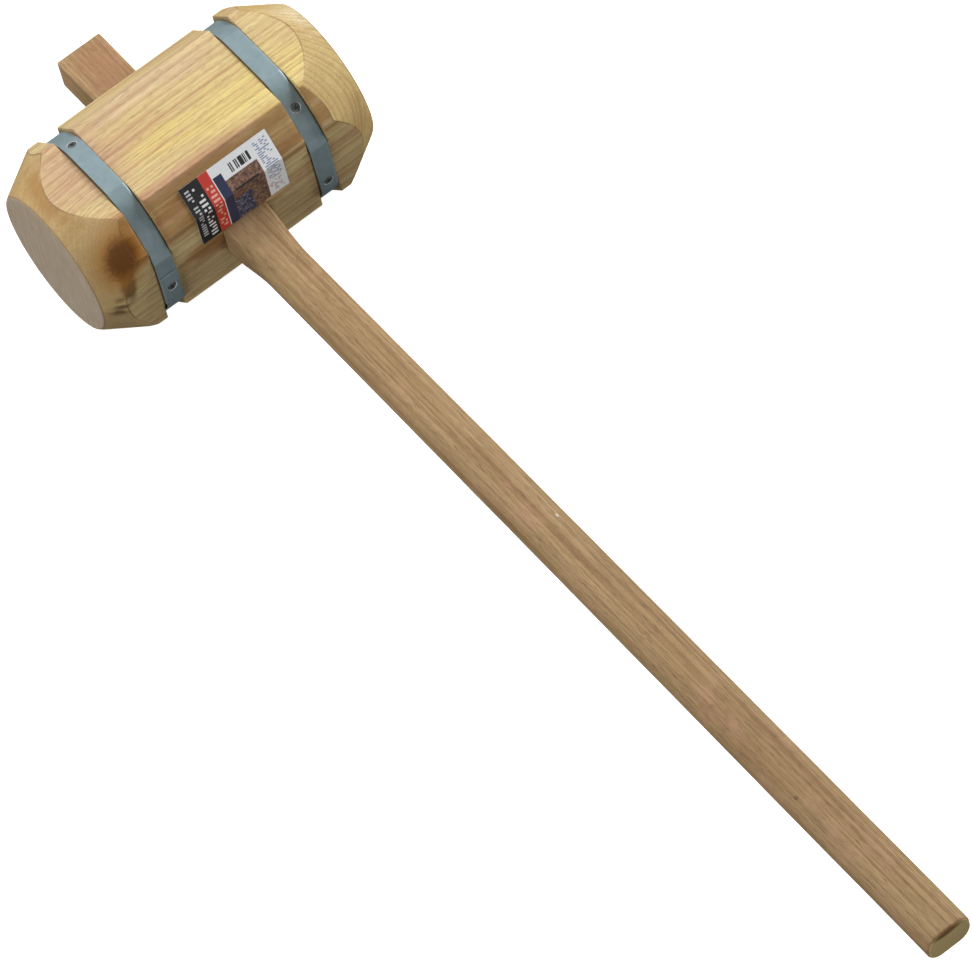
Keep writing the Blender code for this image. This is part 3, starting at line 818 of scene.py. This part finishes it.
def handle_section(x):
    """Width, depth and corner radius of the handle at x."""
    if x <= HALF_FLATS:
        shrink = STUB_TAPER * (x - HANDLE_TOP)
        return STUB_WIDTH - shrink, STUB_DEPTH - shrink, STUB_CORNER
    if x < WAIST_END:
        share = (x - HALF_FLATS) / (WAIST_END - HALF_FLATS)
        share = share * share * (3 - 2 * share)
        first, last = handle_section(HALF_FLATS), (GRIP_WIDTH, GRIP_DEPTH, GRIP_CORNER)
    else:
        share = (x - WAIST_END) / (HANDLE_TOP + HANDLE_LENGTH - WAIST_END)
        first, last = (GRIP_WIDTH, GRIP_DEPTH, GRIP_CORNER), (BUTT_WIDTH, BUTT_DEPTH, GRIP_CORNER)
    return tuple(a + (b - a) * share for a, b in zip(first, last))


def handle_ring(x, inset):
    """The handle's outline at x: four round corners joined by flat sides."""
    width, depth, corner = handle_section(x)
    arcs = []
    for quarter, (a, b) in enumerate(((1, 1), (-1, 1), (-1, -1), (1, -1))):
        middle = Vector((a * (width / 2 - corner), b * (depth / 2 - corner)))
        turns = [math.radians(90 * quarter + 9 * step) for step in range(11)]
        arcs.append([middle + Vector((math.cos(t), math.sin(t))) * (corner - inset) for t in turns])
    ring = []
    for arc, following in zip(arcs, arcs[1:] + arcs[:1]):
        ring += arc + [arc[-1].lerp(following[0], i / 8) for i in range(1, 8)]
    return ring


def handle_mesh():
    """The handle from stub to butt, its grip a little uneven."""
    butt = HANDLE_TOP + HANDLE_LENGTH
    stations = [(HANDLE_TOP, STUB_EASE), (HANDLE_TOP + 0.0002, 0.0002)]
    stations += [(x, 0.0) for x in evenly(HANDLE_TOP + STUB_EASE, HALF_FLATS, 40)]
    stations += [(HALF_FLATS + 0.002 * i, 0.0) for i in range(1, 24)]
    stations += [(x, 0.0) for x in evenly(WAIST_END, butt - BUTT_EASE, 150)[1:]]
    for step in range(1, 7):
        angle = math.radians(15 * step)
        x = butt - BUTT_EASE + BUTT_EASE * math.sin(angle)
        stations.append((x, BUTT_EASE * (1 - math.cos(angle))))
    body = bmesh.new()
    rings = []
    for x, inset in stations:
        free = min(max((x - 0.064) / 0.03, 0), 1)
        row = []
        for point in handle_ring(x, inset):
            wave = noise.noise(Vector((x * 24, point.x * 60, point.y * 60)))
            point = point * (1 - GRIP_UNEVENNESS * free * (0.8 + wave))
            row.append(body.verts.new((x, point.x, HANDLE_HEIGHT + point.y)))
        rings.append(row)
    for near, far in zip(rings, rings[1:]):
        for i in range(len(near)):
            j = (i + 1) % len(near)
            body.faces.new((near[i], near[j], far[j], far[i]))
    body.faces.new(rings[0])
    body.faces.new(rings[-1])
    bmesh.ops.recalc_face_normals(body, faces=body.faces)
    mesh = bpy.data.meshes.new("mallet_handle")
    body.to_mesh(mesh)
    body.free()
    return mesh


# Stains and painted light on the handle, laid out as the head's are: the redder stub, a nick, a speck,
# the paler end grain of the butt lifted further with painted light, and the brown edge above it.
STUB_STAIN = ((0.36, 0.195, 0.105), (-0.092, 0.002, 0.066), (0.036, 0.022, 0.020), 0.4, 0.7, 0.8)
PALE_NICK = ((0.70, 0.65, 0.55), (0.380, 0.0086, 0.069), (0.0025, 0.0012, 0.004), 0.4, 0.2, 0.8)
DARK_SPECK = ((0.12, 0.070, 0.045), (0.643, -0.0100, 0.068), (0.0030, 0.0016, 0.004), 0.3, 0.3, 0.8)
# Paler end grain on the butt, its colour lifted further with painted light on a face the lamps leave dim.
BUTT_GRAIN_AND_LIGHT = ((0.66, 0.51, 0.23), (0.878, 0.0, 0.054), (0.101, 0.196, 0.196), 0.995, 0.0, 0.9)
BUTT_EDGE = ((0.20, 0.090, 0.032), (0.7815, 0.0, 0.0655), (0.008, 0.018, 0.0045), 0.6, 0.3, 0.9)

handle_wood, tree, shader = material("handle_wood", {"Specular IOR Level": 0.15})
here = add(tree, "ShaderNodeTexCoord").outputs["Object"]
split = add(tree, "ShaderNodeSeparateXYZ", {0: here}).outputs
along = add(tree, "ShaderNodeCombineXYZ", {0: split[1], 1: split[2], 2: split[0]}).outputs[0]
sockets = {"Vector": along, "Pith": (0.11, 0.02, 0.0), "Ring Spacing": 0.0036, "Wander": 0.004}
sockets |= {"Pore Length": 0.0085, "Pore Width": 0.00032}
lines = grouped(tree, grain, sockets)
body = ramp(tree, lines["Tone"], (0.30, (0.43, 0.30, 0.150)), (0.70, (0.35, 0.225, 0.110)))
streak = noisy(tree, vector(tree, "MULTIPLY", here, (4, 190, 190)), 1.0, 3.0, 0.6)
body = blend(tree, eased(tree, streak, 0.48, 0.70, 0.0, 0.6), body, (0.235, 0.125, 0.060))
body = blend(tree, eased(tree, streak, 0.46, 0.30, 0.0, 0.5), body, (0.47, 0.32, 0.18))
body = blend(tree, calc(tree, "MULTIPLY", lines["Rings"], 0.3), body, (0.45, 0.33, 0.25), "MULTIPLY")
pink = eased(tree, noisy(tree, here, 38.0, 3.0), 0.50, 0.75, 0.0, 0.5)
body = blend(tree, pink, body, (0.48, 0.285, 0.175))
body = stain_or_painted_light(body, *STUB_STAIN)
body = blend(tree, calc(tree, "MULTIPLY", lines["Pores"], 0.5), body, (0.10, 0.045, 0.025))
body = blend(tree, eased(tree, lines["Fibre"], 0.42, 0.75, 0.0, 0.45), body, (0.17, 0.10, 0.05))
for patch_row in (PALE_NICK, DARK_SPECK, BUTT_GRAIN_AND_LIGHT, BUTT_EDGE):
    body = stain_or_painted_light(body, *patch_row)
tree.links.new(body, shader.inputs["Base Color"])
tree.links.new(calc(tree, "MULTIPLY_ADD", lines["Fibre"], 0.2, 0.48), shader.inputs["Roughness"])
relief = calc(tree, "MULTIPLY_ADD", lines["Pores"], -0.8, calc(tree, "MULTIPLY", lines["Fibre"], 0.6))
bumped(tree, shader, relief, 0.0002, 0.6)
handle = in_scene("mallet_handle", handle_mesh())
handle.data.shade_smooth()
handle.data.set_sharp_from_angle(angle=math.radians(40))
handle.data.materials.append(handle_wood)
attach(handle, "handle")
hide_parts("handle")

# The label: one printed paper sticker, stuck round the corner above the handle. Its print is a dark
# panel, a red stripe, a navy strip, a brown picture block and two light columns, with no lettering.
LABEL_WIDTH, LABEL_PLACE = span("label", 1)
LABEL_TOP_RUN = 0.0233
LABEL_LOWER_END = 0.0090
LABEL_THICKNESS = 0.0003
LABEL_LIFT = 0.0003
LABEL_COLUMNS = 28
CORNER = Vector((HALF_FLATS, FLAT_REACH))


def label_line():
    """The label's path down the narrow flat, round the corner and down the wide flat: (point, outwards)."""
    up = (Vector((LABEL_FLAT_REACH, HALF_FLATS)) - CORNER).normalized()
    out = Vector((up.y, -up.x))
    line = [(CORNER + up * (LABEL_TOP_RUN * (1 - i / 20)), out) for i in range(20)]
    for step in range(7):
        line.append((CORNER, out.slerp(Vector((1, 0)), step / 6)))
    drop = FLAT_REACH - LABEL_LOWER_END
    line += [(CORNER - Vector((0, drop * i / 20)), Vector((1, 0))) for i in range(1, 21)]
    return line


def label_mesh():
    """The sheet with its own thickness, and its print laid flat on a UV map."""
    line = label_line()
    sheet = bmesh.new()
    uv = sheet.loops.layers.uv.new("print")
    travelled = [0.0]
    for (a, _), (b, _) in zip(line, line[1:]):
        travelled.append(travelled[-1] + max((a - b).length, 0.00012))
    layers = []
    place = {}
    for lift in (LABEL_LIFT, LABEL_LIFT + LABEL_THICKNESS):
        grid = []
        for (spot, out), gone in zip(line, travelled):
            at = spot + out * lift
            row = []
            for i in range(LABEL_COLUMNS + 1):
                y = LABEL_PLACE + LABEL_WIDTH * (i / LABEL_COLUMNS - 0.5)
                row.append(sheet.verts.new((at.x, y, at.y + AXIS_HEIGHT)))
                place[row[-1]] = (i / LABEL_COLUMNS, 1 - gone / travelled[-1])
            grid.append(row)
        layers.append(grid)
    lower, upper = layers
    rows = len(line)
    for grid in layers:
        for j in range(rows - 1):
            for i in range(LABEL_COLUMNS):
                sheet.faces.new((grid[j][i], grid[j + 1][i], grid[j + 1][i + 1], grid[j][i + 1]))
    rim = [(j, 0) for j in range(rows)] + [(rows - 1, i) for i in range(1, LABEL_COLUMNS + 1)]
    rim += [(j, LABEL_COLUMNS) for j in range(rows - 2, -1, -1)]
    rim += [(0, i) for i in range(LABEL_COLUMNS - 1, 0, -1)]
    for (j, i), (q, p) in zip(rim, rim[1:] + rim[:1]):
        sheet.faces.new((lower[j][i], lower[q][p], upper[q][p], upper[j][i]))
    bmesh.ops.recalc_face_normals(sheet, faces=sheet.faces)
    for face in sheet.faces:
        for loop in face.loops:
            loop[uv].uv = place[loop.vert]
    mesh = bpy.data.meshes.new("paper_label")
    sheet.to_mesh(mesh)
    sheet.free()
    return mesh


label_paper, tree, shader = material("label_paper", {"Roughness": 0.42})
spot = add(tree, "ShaderNodeUVMap", None, uv_map="print").outputs[0]
spot = add(tree, "ShaderNodeSeparateXYZ", {0: spot}).outputs
across, upward = spot[0], spot[1]


def between(tree, value, low, high):
    """1 where the value lies between the two, 0 elsewhere."""
    above = calc(tree, "GREATER_THAN", value, low)
    return calc(tree, "MULTIPLY", above, calc(tree, "LESS_THAN", value, high))


def printed(below, colour, left, right, bottom, top):
    """A plain rectangle of colour printed on what is below it, in shares of the label."""
    inside = calc(tree, "MULTIPLY", between(tree, across, left, right), between(tree, upward, bottom, top))
    return blend(tree, inside, below, colour)


def marks(below, colour, left, right, bottom, top, rows, columns, seed, fill):
    """Rows of short plain blocks, standing in for printed lines."""
    x = calc(tree, "DIVIDE", calc(tree, "SUBTRACT", across, left), right - left)
    y = calc(tree, "DIVIDE", calc(tree, "SUBTRACT", upward, bottom), top - bottom)
    inside = calc(tree, "MULTIPLY", between(tree, x, 0.0, 1.0), between(tree, y, 0.0, 1.0))
    y = calc(tree, "MULTIPLY", y, float(rows))
    x = calc(tree, "MULTIPLY", x, float(columns))
    row = calc(tree, "FLOOR", y)
    cell = add(tree, "ShaderNodeCombineXYZ", {0: calc(tree, "FLOOR", x), 1: row, 2: float(seed)})
    chance = add(tree, "ShaderNodeTexWhiteNoise", {"Vector": cell.outputs[0]}).outputs["Value"]
    on = calc(tree, "LESS_THAN", chance, fill)
    line = between(tree, calc(tree, "FRACT", y), 0.25, 0.78)
    inside = calc(tree, "MULTIPLY", inside, calc(tree, "MULTIPLY", on, line))
    return blend(tree, inside, below, colour)


# The print, from the left end: a dark panel, a red stripe, a navy strip, a brown picture block with
# a dusky corner and a dark bar across it, plain bars above it, and two light columns.
here = add(tree, "ShaderNodeTexCoord").outputs["Object"]
mottle = noisy(tree, here, 420.0, 4.0, 0.6)
sheet = ramp(tree, mottle, (0.3, (0.80, 0.82, 0.84)), (0.7, (0.86, 0.87, 0.88)))
ink = printed(sheet, (0.010, 0.010, 0.012), 0.0, 0.215, 0.0, 1.0)
ink = marks(ink, (0.55, 0.56, 0.57), 0.035, 0.085, 0.12, 0.94, 17, 2, 3, 0.7)
ink = marks(ink, (0.80, 0.80, 0.80), 0.115, 0.185, 0.04, 0.92, 14, 3, 8, 0.72)
ink = printed(ink, (0.60, 0.045, 0.025), 0.215, 0.325, 0.0, 1.0)
ink = marks(ink, (0.85, 0.42, 0.36), 0.235, 0.305, 0.06, 0.82, 12, 3, 5, 0.6)
ink = printed(ink, (0.022, 0.032, 0.085), 0.335, 0.43, 0.0, 0.86)
picture = ramp(tree, mottle, (0.35, (0.07, 0.035, 0.022)), (0.52, (0.20, 0.105, 0.065)),
    (0.66, (0.34, 0.21, 0.15)))
ink = printed(ink, picture, 0.43, 0.79, 0.0, 0.74)
shade = ramp(tree, mottle, (0.40, (0.02, 0.025, 0.06)), (0.55, (0.10, 0.10, 0.16)),
    (0.65, (0.36, 0.36, 0.42)))
ink = printed(ink, shade, 0.43, 0.62, 0.0, 0.40)
ink = printed(ink, (0.015, 0.012, 0.012), 0.47, 0.74, 0.545, 0.575)
bars = calc(tree, "FLOOR", calc(tree, "MULTIPLY", across, 150.0))
chance = add(tree, "ShaderNodeTexWhiteNoise", {"W": bars}, noise_dimensions="1D").outputs["Value"]
inside = calc(tree, "MULTIPLY", between(tree, across, 0.49, 0.76), between(tree, upward, 0.78, 0.91))
inside = calc(tree, "MULTIPLY", inside, calc(tree, "LESS_THAN", chance, 0.55))
ink = blend(tree, inside, ink, (0.02, 0.02, 0.02))
ink = marks(ink, (0.20, 0.25, 0.42), 0.82, 0.965, 0.30, 0.94, 22, 6, 5, 0.55)
ink = marks(ink, (0.45, 0.25, 0.28), 0.80, 0.96, 0.05, 0.26, 7, 9, 2, 0.45)
tree.links.new(ink, shader.inputs["Base Color"])
label = in_scene("paper_label", label_mesh())
label.data.shade_smooth()
label.data.set_sharp_from_angle(angle=math.radians(40))
label.data.materials.append(label_paper)
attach(label, "head")
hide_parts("label")

# The stage: a plain pale floor that the mallet lies on, soft light from above and a white room.
FLOOR_HALF = 6
FLOOR_DROP = 0.0005
ground = bmesh.new()
bmesh.ops.create_grid(ground, x_segments=1, y_segments=1, size=FLOOR_HALF)
bmesh.ops.translate(ground, verts=ground.verts, vec=(0, 0, cad_box[0][2] - FLOOR_DROP))
floor_mesh = bpy.data.meshes.new("floor")
ground.to_mesh(floor_mesh)
ground.free()
floor = in_scene("floor", floor_mesh)
shades = {"Roughness": 0.9, "Base Color": (0.9, 0.9, 0.9, 1)}
shades |= {"Emission Color": (1, 1, 1, 1), "Emission Strength": 0.8}
pale = material("pale_floor", shades)[0]
floor.data.materials.append(pale)
floor.visible_diffuse = False
floor.visible_glossy = False

room = bpy.data.worlds.new("room")
room.use_nodes = True
air = room.node_tree.nodes["Background"].inputs
air["Color"].default_value = (1, 1, 1, 1)
air["Strength"].default_value = 0.12
bpy.context.scene.world = room
bpy.context.scene.view_settings.view_transform = "Standard"


def soft_light(name, place, target, size, power):
    """A round soft light aimed at a point."""
    data = bpy.data.lights.new(name, "AREA")
    data.shape = "DISK"
    data.size = size
    data.energy = power
    lamp = bpy.data.objects.new(name, data)
    lamp.location = place
    lamp.rotation_euler = (Vector(target) - Vector(place)).to_track_quat("-Z", "Y").to_euler()
    bpy.context.scene.collection.objects.link(lamp)


soft_light("back_light", (-1.43, -0.80, 1.60), (0, 0, 0.06), 1.1, 38)
soft_light("top_light", (-0.23, 1.66, 1.60), (0, 0, 0.06), 1.1, 38)
soft_light("right_light", (0.5, 1.8, 0.5), (0, 0, 0.06), 0.9, 15)
soft_light("left_light", (0.7, -1.9, 0.7), (0.1, 0, 0.06), 1.1, 20)
soft_light("butt_light", (1.75, 0.1, 0.45), (0.78, 0, 0.06), 0.4, 2.4)

# The camera stands about 6 m off, high on the near left side, with a long lens.
lens = bpy.data.cameras.new("camera")
lens.lens = 344.45
lens.shift_x = 0.00147
lens.shift_y = -0.00153
lens.sensor_width = 36
lens.sensor_fit = "HORIZONTAL"
lens.clip_end = 50
camera = bpy.data.objects.new("camera", lens)
right = Vector((0.60519, 0.78202, -0.14897)).normalized()
ahead = Vector((-0.50704, 0.23438, -0.82945)).normalized()
down = ahead.cross(right).normalized()
turn = Matrix((down.cross(ahead), -down, -ahead)).transposed().to_4x4()
camera.matrix_world = Matrix.Translation((3.2871, -1.3767, 4.8491 + AXIS_HEIGHT)) @ turn
bpy.context.scene.collection.objects.link(camera)
bpy.context.scene.camera = camera
